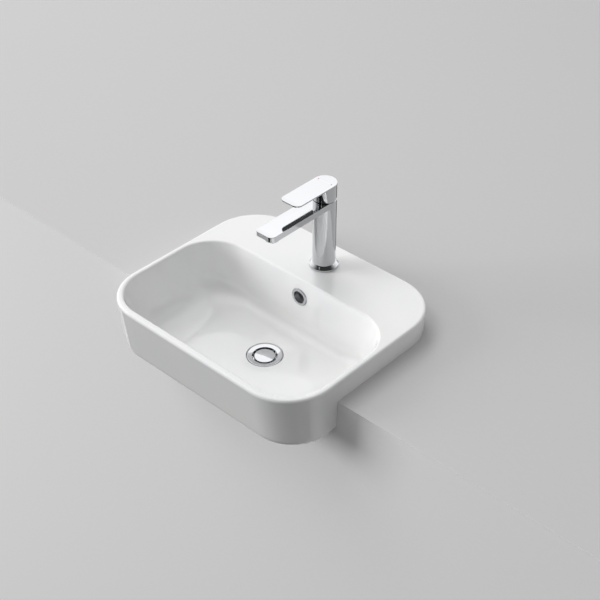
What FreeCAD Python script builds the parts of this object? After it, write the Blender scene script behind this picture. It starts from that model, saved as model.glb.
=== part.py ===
import FreeCAD
import Part
import math
import os

os.makedirs("parts", exist_ok=True)

# Frame: x across, y from the bench's front edge to the back, z up from the bench top.
# All sizes are in millimetres and all angles in degrees.

# Basin outline
basin_width = 500.0
basin_depth = 426.0
front_overhang = 120.0
rim_height = 45.0
skirt_drop = 75.0
corner_front = 95.0
corner_back = 101.0
skirt_front_taper = 16.0
skirt_side_taper = 4.0
slab_back_taper = 2.0
rim_outer_round = 5.0
rim_inner_round = 4.5
skirt_bottom_round = 20.0

# Walls of the casting
deck_thickness = 14.0
skirt_wall = 14.0
foot_width = 22.0
web_thickness = 12.0
bowl_wall = 10.0

# Bowl opening, measured at the rim top
rim_side_band = 11.5
bowl_front_inset = 15.0
bowl_back_inset = 133.5
bowl_corner_front = 80.0
bowl_corner_back = 82.0
floor_corner = 50.0
bowl_depth = 120.0
side_lean = 17.0
front_lean = 12.0
back_lean = 2.0
side_fillet = 85.0
front_fillet = 45.0
back_fillet = 28.0
cut_margin = 6.0
shell_start = 10.0
straight_steps = 8
fillet_steps = 7
dish_steps = 8
floor_dish = 4.8
dish_curve = 2.2
dish_corner_margin = 2.0

# Waste outlet
waste_set_back = 99.0
waste_bore_r = 23.0
waste_neck_bore_r = 28.0
waste_neck_bore_depth = 13.0
seat_r = 36.2
seat_taper = 1.2
seat_depth = 4.3
outlet_boss_r = 42.0
outlet_boss_drop = 35.2

# Overflow duct
overflow_drop = 40.7
overflow_hole_r = 15.0
overflow_flange_r = 18.5
overflow_flange_t = 2.5
overflow_flange_round = 1.2
overflow_opening_r = 13.1
overflow_sleeve = 12.0
overflow_seat_margin = 0.3
duct_half_width = 22.0
duct_gap = 14.0
duct_wall = 10.0
duct_top_cover = 8.0
channel_half_width = 12.0
channel_drop = 11.2
channel_height = 12.0
channel_floor = 8.0

# Waste fitting
flange_r = 34.2
flange_t = 2.5
flange_dish = 1.3
flange_edge_round = 1.0
cup_r = 24.5
cup_wall = 2.0
cup_depth = 8.2
tail_r = 20.95
tail_bore_r = 18.0
tail_length = 85.2
tail_groove_gap = 1.0
tail_groove_width = 1.5
tail_groove_depth = 0.6
slot_width = 14.0
slot_count = 4
rib_count = 16
rib_width = 1.6
rib_reach = 2.3
rib_height = 4.0
cross_drop = 18.2
cross_height = 5.0
cross_arm = 3.0
cross_boss_r = 7.0
lower_washer_r = 32.0
lower_washer_t = 6.0
slip_washer_t = 1.5
back_nut_af = 54.0
back_nut_t = 9.0

# Push plug and its click mechanism
cap_r = 20.0
cap_sink = 1.8
cap_dome = 0.7
cap_t = 3.6
cap_edge_round = 0.8
cap_spigot_r = 15.0
cap_spigot_t = 1.6
cap_hub_r = 8.0
cap_hub_drop = 7.6
plug_seal_r = 20.4
stem_r = 3.0
stem_engage = 6.0
stem_length = 31.0
plunger_r = 3.95
plunger_t = 3.0
click_r = 5.0
click_flange_r = 6.8
click_flange_t = 2.0
click_length = 46.0
click_bore_r = 4.05
click_roof = 3.0
click_base = 2.0
spring_wire_r = 0.4
spring_mean_r = 3.2
spring_turns = 8

# Tap column and spout
tap_set_back = 66.0
tap_hole_r = 17.5
column_r = 22.5
column_height = 151.0
foot_ring_r = 28.5
foot_ring_neck_r = 24.0
foot_ring_lip = 4.2
foot_ring_height = 9.2
foot_seal_t = 1.5
foot_seal_r = 26.8
foot_seal_margin = 0.1
spout_width = 43.0
spout_thickness = 12.5
spout_reach = 165.0
spout_corner = 10.0
spout_tip_rise = 3.5
spout_tip_run = 5.0
metal_edge = 0.6
column_core_r = 19.0
pillar_r = 8.5
inlet_x = 10.0
inlet_y = 4.0
inlet_r = 5.0
inlet_depth = 12.0
waterway_r = 3.6
waterway_roof = 5.0
port_bore_depth = 10.0
stud_y = -11.0
stud_r = 4.0
stud_engage = 18.0
stud_length = 68.0
horseshoe_r = 24.0
horseshoe_gap_half = 16.5
horseshoe_bridge = 7.0
horseshoe_pad_t = 3.0
horseshoe_plate_t = 2.5
stud_nut_af = 13.0
stud_nut_t = 8.0

# Outlet of the spout
aerator_set_back = 24.0
aerator_r = 13.5
aerator_drop = 9.0
aerator_thread_r = 11.95
aerator_thread_h = 2.5
aerator_bore_r = 10.5
aerator_lip_r = 9.6
aerator_lip_t = 0.8
aerator_seal_t = 1.2
aerator_seal_bore_r = 8.0
aerator_pocket_h = 7.0
aerator_hole_r = 0.9
aerator_hole_ring_r = 6.4
aerator_hole_ring_inner_r = 3.2
aerator_hole_count = 12
aerator_hole_inner_count = 6
channel_low = 1.5
spout_channel_h = 4.0
spout_channel_half = 9.0

# Ceramic cartridge
cartridge_drop = 20.0
cartridge_r = 17.4
cartridge_shoulder_drop = 4.0
cartridge_neck_r = 14.6
cartridge_neck_rise = 3.5
cartridge_bore_r = 15.6
cartridge_lip_drop = 6.0
neck_bore_r = 13.05
nut_r = 20.0
nut_hex_af = 28.0
pocket_annulus_r = 19.3
annulus_low = 1.5
annulus_high = 15.0
port_r = 2.8
port_ring_r = 8.0
port_count = 3
port_seal_r = 4.6
port_seal_t = 1.6
base_t = 5.0
fixed_disc_r = 15.5
disc_t = 3.4
moving_disc_r = 10.5
moving_pocket_r = 6.5
moving_pocket_depth = 1.6
disc_lift = 0.1
carrier_foot_r = 15.5
carrier_rise = 14.5
coupler_half_x = 6.0
coupler_half_y = 4.8
coupler_top_drop = 0.2
coupler_slot_back = 0.6
coupler_slot_top_gap = 1.0
lug_r = 1.2
lug_depth = 1.3
lug_x = 4.6
ball_r = 3.0
ball_play = 0.15
ball_drop = 14.0
pivot_rise = 11.0
neck_stem_r = 1.6
spindle_half_x = 3.4
spindle_half_y = 3.5
spindle_low = 7.0
spindle_high = 17.0
spindle_slot_front = 6.4
spindle_slot_back = 5.7
pin_r = 1.5
pin_half = 12.0

# Lever
hub_gap = 1.0
hub_height = 34.0
hub_hollow_r = 19.5
hub_hollow_rise = 20.0
relief_start = 3.5
lift_range = 20.0
plate_t = 3.0
plate_half_width = 23.1
plate_reach = 99.0
plate_corner = 12.0
grub_rise = 24.0
grub_r = 2.5
grub_length = 7.0
grub_socket_r = 1.3
grub_socket_depth = 2.5
screw_cap_r = 3.0
screw_cap_t = 3.0
mark_x = 15.6
mark_r = 1.4
mark_depth = 0.6

# Nuts
hex_sides = 6

# Clearances
fit_gap = 0.05
slide_gap = 0.1
blind_gap = 0.4
face_gap = 0.3
fuse_overlap = 5.0

# Levels that follow from the sizes above
front_y = -front_overhang
back_y = basin_depth - front_overhang
half_width = basin_width / 2
bowl_half_width = half_width - rim_side_band
bowl_front_y = front_y + bowl_front_inset
bowl_back_y = back_y - bowl_back_inset
bowl_mid_y = (bowl_front_y + bowl_back_y) / 2
deck_under = rim_height - deck_thickness
floor_z = rim_height - bowl_depth
waste_y = bowl_back_y - waste_set_back
waste_z = floor_z - floor_dish
channel_top = waste_z - channel_drop
overflow_z = rim_height - overflow_drop
tap_y = back_y - tap_set_back
boss_under = waste_z - outlet_boss_drop
tap_top = rim_height + column_height
pocket_floor = tap_top - cartridge_drop
pivot_z = tap_top + pivot_rise
hub_base = tap_top + hub_gap
hub_top = hub_base + hub_height
X_AXIS = FreeCAD.Vector(1, 0, 0)
Y_AXIS = FreeCAD.Vector(0, 1, 0)
Z_AXIS = FreeCAD.Vector(0, 0, 1)


def vec(x, y, z):
    return FreeCAD.Vector(x, y, z)


def cylinder(radius, low, high, x=0, y=0):
    return Part.makeCylinder(radius, high - low, vec(x, y, low))


def tube(outer, inner, low, high, x=0, y=0):
    return cylinder(outer, low, high, x, y).cut(cylinder(inner, low, high, x, y))


def box(x0, x1, y0, y1, z0, z1):
    return Part.makeBox(x1 - x0, y1 - y0, z1 - z0, vec(x0, y0, z0))


def hexagon(across_flats, low, high, x, y):
    corner = across_flats / 2 / math.cos(math.pi / hex_sides)
    turns = [2 * math.pi * step / hex_sides for step in range(hex_sides + 1)]
    points = [vec(x + corner * math.cos(a), y + corner * math.sin(a), low) for a in turns]
    return Part.Face(Part.makePolygon(points)).extrude(vec(0, 0, high - low))


def turned(points, x, y):
    outline = [vec(x + radius, y, height) for radius, height in points]
    face = Part.Face(Part.makePolygon(outline + outline[:1]))
    return face.revolve(vec(x, y, 0), Z_AXIS, 360)


def fused(shapes):
    return shapes[0].multiFuse(shapes[1:]).removeSplitter()


def edges_at(shape, height):
    near = [e for e in shape.Edges if abs(e.BoundBox.ZMin - height) < fit_gap]
    return [e for e in near if e.BoundBox.ZLength < fit_gap]


def ring_of(tool, count, x, y):
    turns = [tool.copy() for _ in range(count)]
    for step, item in enumerate(turns):
        item.rotate(vec(x, y, 0), Z_AXIS, 360 * step / count)
    return turns


def save(node, shape):
    solids = [solid for solid in shape.Solids]
    result = solids[0] if len(solids) == 1 else Part.makeCompound(solids)
    result.exportStep(os.path.join("parts", node + ".step"))


def plan_wire(x_half, y0, y1, r_front, r_back, z):
    """Rounded rectangle with its own radius at the front and at the back corners."""
    lines = [
        (vec(-x_half + r_front, y0, z), vec(x_half - r_front, y0, z)),
        (vec(x_half, y0 + r_front, z), vec(x_half, y1 - r_back, z)),
        (vec(x_half - r_back, y1, z), vec(-x_half + r_back, y1, z)),
        (vec(-x_half, y1 - r_back, z), vec(-x_half, y0 + r_front, z)),
    ]
    f_in = r_front * (1 - math.sqrt(0.5))
    b_in = r_back * (1 - math.sqrt(0.5))
    mids = [
        vec(x_half - f_in, y0 + f_in, z),
        vec(x_half - b_in, y1 - b_in, z),
        vec(-x_half + b_in, y1 - b_in, z),
        vec(-x_half + f_in, y0 + f_in, z),
    ]
    edges = []
    for index, (start, end) in enumerate(lines):
        edges.append(Part.makeLine(start, end))
        following = lines[(index + 1) % len(lines)][0]
        edges.append(Part.Arc(end, mids[index], following).toShape())
    return Part.Wire(edges)


def wall_line(top, lean, radius, wall, depth):
    """Distance of a leaning wall from its datum, at a depth below the rim top."""
    angle = math.radians(lean)
    outer = radius + wall
    centre_z = -bowl_depth + radius
    centre = top + centre_z * math.tan(angle) - radius / math.cos(angle)
    if depth > centre_z - outer * math.sin(angle):
        return top + wall / math.cos(angle) + depth * math.tan(angle)
    rise = outer ** 2 - (depth - centre_z) ** 2
    return centre + math.sqrt(max(rise, 0))


def bowl_section(wall, depth):
    half = wall_line(bowl_half_width, side_lean, side_fillet, wall, depth)
    ahead = wall_line(bowl_mid_y - bowl_front_y, front_lean, front_fillet, wall, depth)
    behind = wall_line(bowl_back_y - bowl_mid_y, back_lean, back_fillet, wall, depth)
    share = min(max(-depth / (bowl_depth + wall), 0), 1)
    r_front = bowl_corner_front + wall + (floor_corner - bowl_corner_front) * share ** 2
    r_back = bowl_corner_back + wall + (floor_corner - bowl_corner_back) * share ** 2
    y0 = bowl_mid_y - ahead
    y1 = bowl_mid_y + behind
    return half, y0, y1, r_front, r_back


def bowl_depths(top, wall):
    """Depths of the sections: even steps down the wall, even angles round the fillet."""
    angle = math.radians(side_lean)
    outer = side_fillet + wall
    centre_z = -bowl_depth + side_fillet
    tangent = centre_z - outer * math.sin(angle)
    down = [top + (tangent - top) * step / straight_steps for step in range(straight_steps)]
    span = math.pi / 2 - angle
    turns = [angle + span * step / fillet_steps for step in range(fillet_steps + 1)]
    return down + [centre_z - outer * math.sin(turn) for turn in turns]


def bowl_form(top, wall):
    """Inside of the bowl for a wall of zero, outside of it for a real wall."""
    wires = []
    for depth in bowl_depths(top, wall):
        half, y0, y1, r_front, r_back = bowl_section(wall, depth)
        wires.append(plan_wire(half, y0, y1, r_front, r_back, rim_height + depth))
    return Part.makeLoft(wires, True, False)


def floor_fall():
    """Shallow dish that leads the flat edge of the floor down to the outlet."""
    half, y0, y1, r_front, r_back = bowl_section(0, -bowl_depth)
    end_r = seat_r - dish_corner_margin
    wires = []
    for step in range(dish_steps + 1):
        share = step / dish_steps
        side = half + (seat_r - half) * share
        low = y0 + (waste_y - seat_r - y0) * share
        high = y1 + (waste_y + seat_r - y1) * share
        fore = r_front + (end_r - r_front) * share
        aft = r_back + (end_r - r_back) * share
        level = floor_z - floor_dish * share ** dish_curve
        wires.append(plan_wire(side, low, high, fore, aft, level))
    return Part.makeLoft(wires, True, False)


def outer_section(inset, z):
    """Outline of the tapered casting at a level, moved inward by an inset."""
    share = (rim_height - z) / (rim_height + skirt_drop)
    side = skirt_side_taper * share + inset
    ahead = skirt_front_taper * share + inset
    behind = slab_back_taper * share + inset
    r_front = corner_front - (side + ahead) / 2
    r_back = corner_back - (side + behind) / 2
    return plan_wire(half_width - side, front_y + ahead, back_y - behind, r_front, r_back, z)


def outer_block():
    block = Part.makeLoft([outer_section(0, -skirt_drop), outer_section(0, rim_height)], True, True)
    block = block.makeFillet(rim_outer_round, edges_at(block, rim_height))
    block = block.makeFillet(skirt_bottom_round, edges_at(block, -skirt_drop))
    bench = box(-basin_width, basin_width, 0, basin_depth, -basin_depth, 0)
    return block.cut(bench)


def hollow(inset, y0, y1, low):
    sections = [outer_section(inset, low), outer_section(inset, deck_under)]
    form = Part.makeLoft(sections, True, True)
    return form.common(box(-basin_width, basin_width, y0, y1, low, deck_under))


def overflow_seat_y():
    depth = overflow_z + overflow_flange_r - rim_height
    return bowl_section(0, depth)[2]


def duct_solid():
    seat = overflow_seat_y()
    chamber_y = seat + duct_wall
    back = chamber_y + duct_gap + duct_wall
    half = duct_half_width + duct_wall
    low = channel_top - channel_height - channel_floor
    tower = box(-half, half, seat, back, low, deck_under + fuse_overlap)
    run_half = channel_half_width + duct_wall
    run = box(-run_half, run_half, waste_y, back, low, floor_z - fuse_overlap)
    boss = cylinder(outlet_boss_r, boss_under, waste_z, 0, waste_y)
    return fused([tower, run, boss])


def duct_hollow():
    chamber_y = overflow_seat_y() + duct_wall
    far = chamber_y + duct_gap
    low = channel_top - channel_height
    top = overflow_z + overflow_hole_r + duct_top_cover
    chamber = box(-duct_half_width, duct_half_width, chamber_y, far, low, top)
    run = box(-channel_half_width, channel_half_width, waste_y, far, low, channel_top)
    return chamber.fuse(run)


def outlet_hollow():
    seat_floor = waste_z - seat_depth
    above = waste_z + cut_margin
    seat = Part.makeCone(seat_r - seat_taper, seat_r, seat_depth, vec(0, waste_y, seat_floor))
    open_top = cylinder(seat_r, waste_z, above, 0, waste_y)
    neck_low = waste_z - waste_neck_bore_depth
    neck = cylinder(waste_neck_bore_r, neck_low, waste_z, 0, waste_y)
    bore = cylinder(waste_bore_r, boss_under - cut_margin, waste_z, 0, waste_y)
    return fused([seat, open_top, neck, bore])


def overflow_hollow():
    seat = overflow_seat_y()
    hole = Part.makeCylinder(
        overflow_hole_r,
        duct_wall + duct_gap / 2,
        vec(0, seat - cut_margin, overflow_z),
        Y_AXIS,
    )
    face_r = overflow_flange_r + overflow_seat_margin
    face = Part.makeCylinder(face_r, cut_margin, vec(0, seat - cut_margin, overflow_z), Y_AXIS)
    through = hole.copy()
    through.translate(vec(0, cut_margin, 0))
    return fused([hole, through, face])


def basin_body():
    shell = outer_block()
    shell = shell.cut(hollow(skirt_wall, front_y, -web_thickness, -skirt_drop - cut_margin))
    shell = shell.cut(hollow(foot_width, 0, back_y, -cut_margin))
    bowl = bowl_form(-shell_start, bowl_wall)
    body = shell.multiFuse([bowl, duct_solid()])
    body = body.cut(bowl_form(cut_margin, 0))
    body = body.cut(floor_fall())
    band = min(rim_side_band, bowl_front_inset) - rim_outer_round - face_gap
    body = body.makeFillet(min(rim_inner_round, band), rim_edges(body))
    body = body.cut(duct_hollow())
    body = body.cut(outlet_hollow())
    body = body.cut(overflow_hollow())
    tap_hole = cylinder(tap_hole_r, 0, rim_height + cut_margin, 0, tap_y)
    return body.cut(tap_hole)


def rim_edges(body):
    found = []
    for edge in edges_at(body, rim_height):
        span = edge.BoundBox
        inside = abs(span.XMin) < half_width - rim_outer_round - fit_gap
        inside = inside and abs(span.XMax) < half_width - rim_outer_round - fit_gap
        inside = inside and span.YMax < bowl_back_y + rim_inner_round
        inside = inside and span.YMin > front_y + rim_outer_round + fit_gap
        if inside:
            found.append(edge)
    return found


def overflow_ring():
    seat = overflow_seat_y()
    front = seat - overflow_flange_t
    rim = Part.makeCylinder(overflow_flange_r, overflow_flange_t, vec(0, front, overflow_z), Y_AXIS)
    edges = [e for e in rim.Edges if e.BoundBox.YMax < front + fit_gap]
    rim = rim.makeFillet(overflow_flange_round, edges)
    sleeve_r = overflow_hole_r - fit_gap
    sleeve = Part.makeCylinder(sleeve_r, overflow_sleeve, vec(0, front, overflow_z), Y_AXIS)
    opening = Part.makeCylinder(
        overflow_opening_r,
        overflow_sleeve + cut_margin,
        vec(0, front - cut_margin / 2, overflow_z),
        Y_AXIS,
    )
    return rim.fuse(sleeve).cut(opening).removeSplitter()


def waste_body():
    top = waste_z
    under = top - flange_t
    ledge = top - cup_depth
    shelf = ledge - cup_wall
    cup_outer = cup_r + cup_wall
    profile = [
        (cup_r, top - flange_dish),
        (flange_r, top),
        (flange_r, under),
        (cup_outer, under),
        (cup_outer, shelf),
        (tail_r, shelf),
        (tail_r, top - tail_length),
        (tail_bore_r, top - tail_length),
        (tail_bore_r, ledge),
        (cup_r, ledge),
    ]
    body = turned(profile, 0, waste_y)
    rim = [e for e in edges_at(body, top) if e.BoundBox.XLength > 2 * flange_r - fit_gap]
    body = body.makeFillet(flange_edge_round, rim)
    body = body.multiFuse(cup_ribs(ledge) + [cross(top - cross_drop)])
    slot_top = channel_top
    slot = box(0, cup_r, waste_y - slot_width / 2, waste_y + slot_width / 2,
               slot_top - channel_height, slot_top)
    slot.rotate(vec(0, waste_y, 0), Z_AXIS, 180 / slot_count)
    clear_of_cross = cylinder(tail_bore_r - cup_wall, slot_top - channel_height, slot_top, 0, waste_y)
    slots = [item.cut(clear_of_cross) for item in ring_of(slot, slot_count, 0, waste_y)]
    return body.cut(slots + [tail_groove()]).removeSplitter()


def tail_groove():
    """Thread relief just below the back nut."""
    high = waste_nut_under() - tail_groove_gap
    return tube(tail_r + cut_margin, tail_r - tail_groove_depth, high - tail_groove_width, high,
                0, waste_y)


def waste_nut_under():
    return boss_under - lower_washer_t - slip_washer_t - back_nut_t


def cup_ribs(ledge):
    inner = cup_r - rib_reach
    rib = box(inner, cup_r + cup_wall / 2, waste_y - rib_width / 2, waste_y + rib_width / 2,
              ledge - cup_wall / 2, ledge + rib_height)
    return ring_of(rib, rib_count, 0, waste_y)


def cross(top):
    arm_reach = tail_bore_r + cup_wall / 2
    arm = box(click_r, arm_reach, waste_y - cross_arm / 2, waste_y + cross_arm / 2,
              top - cross_height, top)
    boss = tube(cross_boss_r, click_r + fit_gap, top - cross_height, top, 0, waste_y)
    return fused(ring_of(arm, slot_count, 0, waste_y) + [boss]).cut(
        cylinder(click_r + fit_gap, top - cross_height, top, 0, waste_y))


def waste_flange_seal():
    inner = cup_r + cup_wall + fit_gap
    return tube(flange_r - face_gap, inner, waste_z - seat_depth, waste_z - flange_t, 0, waste_y)


def waste_lower_washer():
    low = boss_under - lower_washer_t
    return tube(lower_washer_r, tail_r + fit_gap, low, boss_under, 0, waste_y)


def waste_slip_washer():
    top = boss_under - lower_washer_t
    return tube(lower_washer_r, tail_r + fit_gap, top - slip_washer_t, top, 0, waste_y)


def waste_back_nut():
    top = boss_under - lower_washer_t - slip_washer_t
    nut = hexagon(back_nut_af, top - back_nut_t, top, 0, waste_y)
    return nut.cut(cylinder(tail_r + fit_gap, top - back_nut_t, top, 0, waste_y))


def plug_cap():
    edge = waste_z - cap_sink
    under = edge - cap_t
    spigot = under - cap_spigot_t
    hub = under - cap_hub_drop
    dome_r = (cap_r ** 2 + cap_dome ** 2) / (2 * cap_dome)
    ball = Part.makeSphere(dome_r, vec(0, waste_y, edge + cap_dome - dome_r))
    disc = cylinder(cap_r, under, edge + cap_dome, 0, waste_y).common(ball)
    rim = [e for e in edges_at(disc, edge)]
    disc = disc.makeFillet(cap_edge_round, rim)
    neck = cylinder(cap_spigot_r, spigot, under, 0, waste_y)
    boss = cylinder(cap_hub_r, hub, under, 0, waste_y)
    socket = cylinder(stem_r + fit_gap, hub, hub + stem_engage + blind_gap, 0, waste_y)
    return fused([disc, neck, boss]).cut(socket)


def plug_seal():
    top = waste_z - cap_sink - cap_t
    return tube(plug_seal_r, cap_spigot_r + fit_gap, waste_z - cup_depth, top, 0, waste_y)


def stem_top():
    return waste_z - cap_sink - cap_t - cap_hub_drop + stem_engage


def plug_stem():
    top = stem_top()
    low = top - stem_length
    rod = cylinder(stem_r, low, top, 0, waste_y)
    return rod.fuse(cylinder(plunger_r, low - plunger_t, low, 0, waste_y)).removeSplitter()


def click_cartridge():
    seat = waste_z - cross_drop
    top = seat + click_flange_t
    low = top - click_length
    outer = cylinder(click_r, low, top, 0, waste_y).fuse(
        cylinder(click_flange_r, seat, top, 0, waste_y))
    bore = cylinder(click_bore_r, low + click_base, top - click_roof, 0, waste_y)
    return outer.cut(bore).cut(cylinder(stem_r + fit_gap, low, top, 0, waste_y)).removeSplitter()


def click_spring():
    low = waste_z - cross_drop + click_flange_t - click_length + click_base
    high = stem_top() - stem_length - plunger_t
    length = high - low - 2 * spring_wire_r
    helix = Part.makeHelix(length / spring_turns, length, spring_mean_r)
    start = Part.Wire(Part.makeCircle(spring_wire_r, vec(spring_mean_r, 0, 0), Y_AXIS))
    coil = Part.Wire(helix).makePipeShell([start], True, True)
    coil.translate(vec(0, waste_y, low + spring_wire_r))
    return coil


def spout_slab():
    tip = tap_y - spout_reach
    low = tap_top - spout_thickness
    slab = box(-spout_width / 2, spout_width / 2, tip, tap_y, low, tap_top)
    corners = [e for e in slab.Edges if e.BoundBox.YMax < tip + fit_gap
               and e.BoundBox.ZLength > spout_thickness - fit_gap]
    slab = slab.makeFillet(spout_corner, corners).cut(tip_wedge(tip, low))
    borders = edges_at(slab, tap_top) + edges_at(slab, low)
    borders = [e for e in borders if e.BoundBox.YMin < tap_y - fit_gap]
    return slab.makeFillet(metal_edge, borders)


def tip_wedge(tip, low):
    """Slope that lifts the underside toward the front edge of the spout."""
    points = [vec(-spout_width, tip, low), vec(-spout_width, tip + spout_tip_run, low),
              vec(-spout_width, tip, low + spout_tip_rise)]
    face = Part.Face(Part.makePolygon(points + points[:1]))
    return face.extrude(vec(2 * spout_width, 0, 0))


def tap_pillars(low, high):
    left = cylinder(pillar_r, low, high, -inlet_x, tap_y + inlet_y)
    right = cylinder(pillar_r, low, high, inlet_x, tap_y + inlet_y)
    front = cylinder(pillar_r, low, high, 0, tap_y + stud_y)
    return [left, right, front]


def port_places():
    """Mixed water leaves at the front port; the other two bring hot and cold."""
    turns = [2 * math.pi * step / port_count for step in range(port_count)]
    return [(port_ring_r * math.sin(a), tap_y - port_ring_r * math.cos(a)) for a in turns]


def tap_hollow():
    base = rim_height + foot_seal_t
    core_top = pocket_floor - port_bore_depth
    core = cylinder(column_core_r, base, core_top, 0, tap_y)
    core = core.cut(tap_pillars(base, core_top))
    stud_hole = cylinder(stud_r + fit_gap, base, base + stud_engage + blind_gap, 0, tap_y + stud_y)
    tools = [core, stud_hole]
    for side, place in zip((1, -1), port_places()[1:]):
        x = side * inlet_x
        y = tap_y + inlet_y
        tools.append(cylinder(inlet_r, base, base + inlet_depth, x, y))
        tools.append(cylinder(waterway_r, base, pocket_floor - waterway_roof, x, y))
        tools.append(cylinder(port_r, pocket_floor - port_bore_depth, pocket_floor, *place))
    return tools


def cartridge_pocket():
    shoulder = tap_top - cartridge_shoulder_drop
    wide = cylinder(nut_r + fit_gap, shoulder, tap_top, 0, tap_y)
    pocket = cylinder(cartridge_r + fit_gap, pocket_floor, shoulder, 0, tap_y)
    ring = cylinder(pocket_annulus_r, pocket_floor + annulus_low, pocket_floor + annulus_high,
                    0, tap_y)
    return [wide, pocket, ring]


def aerator_y():
    return tap_y - spout_reach + aerator_set_back


def spout_hollow():
    low = tap_top - spout_thickness
    floor = low + channel_low
    channel = box(-spout_channel_half, spout_channel_half, aerator_y(), tap_y - cartridge_r,
                  floor, floor + spout_channel_h)
    well = cylinder(aerator_thread_r + fit_gap, low, low + aerator_pocket_h, 0, aerator_y())
    return [channel, well]


def tap_body():
    column = cylinder(column_r, rim_height + foot_seal_t, tap_top, 0, tap_y)
    top_rim = [e for e in edges_at(column, tap_top)]
    column = column.makeFillet(metal_edge, top_rim)
    body = column.fuse(spout_slab()).removeSplitter()
    return body.cut(tap_hollow() + cartridge_pocket() + spout_hollow())


def tap_base_ring():
    low = rim_height
    top = low + foot_ring_height
    bore = column_r + fit_gap
    recess = low + foot_seal_t
    recess_r = foot_seal_r + foot_seal_margin
    profile = [
        (bore, top),
        (foot_ring_neck_r, top),
        (foot_ring_r, low + foot_ring_lip),
        (foot_ring_r, low),
        (recess_r, low),
        (recess_r, recess),
        (bore, recess),
    ]
    ring = turned(profile, 0, tap_y)
    return ring.makeFillet(metal_edge, edges_at(ring, low + foot_ring_lip))


def tap_base_seal():
    inner = tap_hole_r + face_gap
    return tube(foot_seal_r, inner, rim_height, rim_height + foot_seal_t, 0, tap_y)


def tap_stud():
    top = rim_height + foot_seal_t + stud_engage
    return cylinder(stud_r, top - stud_length, top, 0, tap_y + stud_y)


def horseshoe(low, high):
    disc = cylinder(horseshoe_r, low, high, 0, tap_y)
    front = tap_y + stud_y + horseshoe_bridge
    gap = box(-horseshoe_gap_half, horseshoe_gap_half, front, tap_y + horseshoe_r, low, high)
    return disc.cut(gap).cut(cylinder(stud_r + fit_gap, low, high, 0, tap_y + stud_y))


def tap_horseshoe_pad():
    return horseshoe(deck_under - horseshoe_pad_t, deck_under)


def tap_horseshoe_plate():
    top = deck_under - horseshoe_pad_t
    return horseshoe(top - horseshoe_plate_t, top)


def tap_stud_nut():
    top = deck_under - horseshoe_pad_t - horseshoe_plate_t
    nut = hexagon(stud_nut_af, top - stud_nut_t, top, 0, tap_y + stud_y)
    return nut.cut(cylinder(stud_r + fit_gap, top - stud_nut_t, top, 0, tap_y + stud_y))


def aerator_ring():
    spout_low = tap_top - spout_thickness
    low = spout_low - aerator_drop
    profile = [
        (aerator_lip_r, low),
        (aerator_r, low),
        (aerator_r, spout_low),
        (aerator_thread_r, spout_low),
        (aerator_thread_r, spout_low + aerator_thread_h),
        (aerator_bore_r, spout_low + aerator_thread_h),
        (aerator_bore_r, low + aerator_lip_t),
        (aerator_lip_r, low + aerator_lip_t),
    ]
    ring = turned(profile, 0, aerator_y())
    rim = [e for e in edges_at(ring, low) if e.BoundBox.XLength > 2 * aerator_r - fit_gap]
    return ring.makeFillet(metal_edge, rim)


def aerator_insert():
    spout_low = tap_top - spout_thickness
    low = spout_low - aerator_drop + aerator_lip_t
    high = spout_low + aerator_thread_h
    disc = cylinder(aerator_bore_r - fit_gap, low, high, 0, aerator_y())
    outer = cylinder(aerator_hole_r, low, high, aerator_hole_ring_r, aerator_y())
    inner = cylinder(aerator_hole_r, low, high, aerator_hole_ring_inner_r, aerator_y())
    holes = ring_of(outer, aerator_hole_count, 0, aerator_y())
    holes += ring_of(inner, aerator_hole_inner_count, 0, aerator_y())
    return disc.cut(holes)


def aerator_seal():
    low = tap_top - spout_thickness + aerator_thread_h
    outer = aerator_thread_r - fit_gap
    return tube(outer, aerator_seal_bore_r, low, low + aerator_seal_t, 0, aerator_y())


def port_holes(low, high):
    return [cylinder(port_r, low, high, x, y) for x, y in port_places()]


def cartridge_housing():
    low = pocket_floor
    shoulder = tap_top - cartridge_shoulder_drop
    lip = tap_top - cartridge_lip_drop
    neck_top = tap_top + cartridge_neck_rise
    shell = fused([
        cylinder(cartridge_r, low, shoulder, 0, tap_y),
        cylinder(cartridge_neck_r, shoulder, neck_top, 0, tap_y),
    ])
    inside = cylinder(cartridge_bore_r, low + base_t, lip, 0, tap_y)
    neck = cylinder(neck_bore_r, lip, neck_top, 0, tap_y)
    grooves = [cylinder(port_seal_r + fit_gap, low, low + port_seal_t, x, y)
               for x, y in port_places()]
    outlet_y = tap_y - port_ring_r
    outlet = box(-port_r, port_r, tap_y - cartridge_r - fit_gap, outlet_y,
                 low + port_seal_t + slide_gap, low + base_t - slide_gap)
    shell = shell.cut([inside, neck] + grooves[1:])
    ports = port_holes(low, low + base_t)[1:]
    mixed = cylinder(port_r, low + port_seal_t + slide_gap, low + base_t, *port_places()[0])
    return shell.cut(ports + [mixed, outlet]).removeSplitter()


def cartridge_port_seals():
    low = pocket_floor
    rings = [tube(port_seal_r, port_r, low, low + port_seal_t, x, y) for x, y in port_places()]
    return Part.makeCompound(rings[1:])


def fixed_disc_top():
    return pocket_floor + base_t + disc_t


def cartridge_fixed_disc():
    low = pocket_floor + base_t
    disc = cylinder(fixed_disc_r, low, low + disc_t, 0, tap_y)
    return disc.cut(port_holes(low, low + disc_t))


def moving_disc_levels():
    return fixed_disc_top(), fixed_disc_top() + disc_t


def coupler_lugs(depth, radius):
    top = moving_disc_levels()[1]
    return [cylinder(radius, top - depth, top, side * lug_x, tap_y) for side in (-1, 1)]


def cartridge_moving_disc():
    low, high = moving_disc_levels()
    disc = cylinder(moving_disc_r, low, high, 0, tap_y)
    pocket = cylinder(moving_pocket_r, low, low + moving_pocket_depth, 0, tap_y)
    return disc.cut([pocket] + coupler_lugs(lug_depth + slide_gap, lug_r + fit_gap))


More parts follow.
